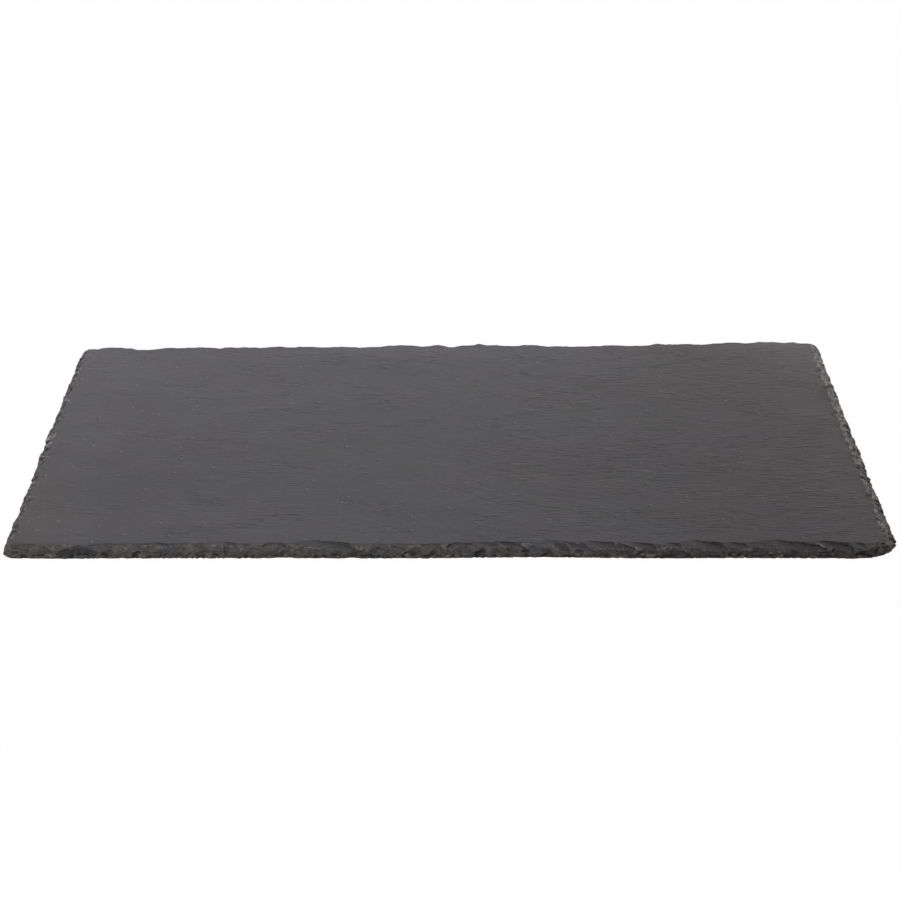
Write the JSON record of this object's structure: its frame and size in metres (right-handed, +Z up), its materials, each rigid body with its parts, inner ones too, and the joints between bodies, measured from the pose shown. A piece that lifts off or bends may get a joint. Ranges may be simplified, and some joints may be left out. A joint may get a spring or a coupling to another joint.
{
  "type": "slate serving board",
  "caption": "Flat rectangular slate serving board with hand-dressed, chipped and bevelled edges, on small rubber feet stuck under its corners.",
  "frame": {"origin": "on the table, under the middle of the slab's outline, level with the undersides of the feet", "axes": "+X along the slab's length to the right, +Y to the back edge, +Z up out of the serving face"},
  "size_m": [0.2992, 0.199, 0.0068],
  "materials": {
    "slate": "matt riven slate, chipped at the edges",
    "foot_rubber": "matt black soft rubber",
    "adhesive": "translucent acrylic adhesive film"
  },
  "bodies": {
    "root": {"slate_slab": "slate", "rubber_foot_front_left": "foot_rubber", "rubber_foot_front_right": "foot_rubber", "rubber_foot_back_right": "foot_rubber", "rubber_foot_back_left": "foot_rubber", "adhesive_disc_front_left": "adhesive", "adhesive_disc_front_right": "adhesive", "adhesive_disc_back_right": "adhesive", "adhesive_disc_back_left": "adhesive"}
  },
  "joints": []
}
